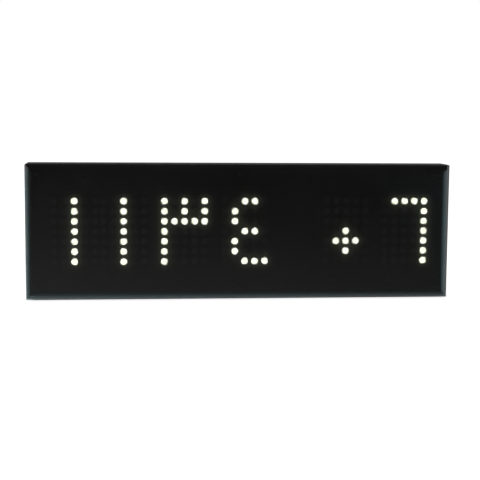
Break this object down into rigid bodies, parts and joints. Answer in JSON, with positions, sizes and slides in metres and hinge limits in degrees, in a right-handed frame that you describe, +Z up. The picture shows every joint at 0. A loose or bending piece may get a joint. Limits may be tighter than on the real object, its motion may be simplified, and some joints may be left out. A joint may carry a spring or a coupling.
{
  "type": "dot matrix led display",
  "caption": "Slim box-shaped dot matrix LED number display with a dark tinted window, for hanging on a wall or standing on a counter.",
  "frame": {"origin": "middle of the footprint, on the surface that the display stands on", "axes": "+X along the width to the viewer's right, -Y out of the window, +Z up"},
  "size_m": [0.3236, 0.03, 0.103],
  "materials": {
    "tinted_cover": "polished, smoke tinted",
    "case_black": "fine moulded grain",
    "screw_steel": "zinc plated",
    "board_green": "solder mask",
    "module_black": "matt black face",
    "carrier_plate": "moulded plate",
    "dot_lit": "clear cast, lit",
    "dot_dark": "milky cast, unlit",
    "chip_black": "moulded package",
    "can_steel": "drawn can",
    "ferrite": "sintered",
    "can_aluminium": "drawn can",
    "socket_black": "moulded",
    "contact_gold": "gold plated"
  },
  "bodies": {
    "root": {"front_cover": "tinted_cover", "rear_case": "case_black", "case_screws": "screw_steel", "display_board": "board_green", "board_screws": "screw_steel", "matrix_1_shell": "module_black", "matrix_2_shell": "module_black", "matrix_3_shell": "module_black", "matrix_4_shell": "module_black", "matrix_5_shell": "module_black", "matrix_6_shell": "module_black", "matrix_1_carrier": "carrier_plate", "matrix_2_carrier": "carrier_plate", "matrix_3_carrier": "carrier_plate", "matrix_4_carrier": "carrier_plate", "matrix_5_carrier": "carrier_plate", "matrix_6_carrier": "carrier_plate", "matrix_1_lit_dots": "dot_lit", "matrix_2_lit_dots": "dot_lit", "matrix_3_lit_dots": "dot_lit", "matrix_4_lit_dots": "dot_lit", "matrix_5_lit_dots": "dot_lit", "matrix_6_lit_dots": "dot_lit", "matrix_1_dark_dots": "dot_dark", "matrix_2_dark_dots": "dot_dark", "matrix_3_dark_dots": "dot_dark", "matrix_4_dark_dots": "dot_dark", "matrix_5_dark_dots": "dot_dark", "matrix_6_dark_dots": "dot_dark", "module_drivers": "chip_black", "resistor_arrays": "chip_black", "row_transistors": "chip_black", "controller_chip": "chip_black", "bus_chip": "chip_black", "regulator": "chip_black", "crystal": "can_steel", "inductor": "ferrite", "capacitors": "can_aluminium", "data_socket_in": "socket_black", "data_socket_out": "socket_black", "socket_contacts": "contact_gold"}
  },
  "joints": []
}
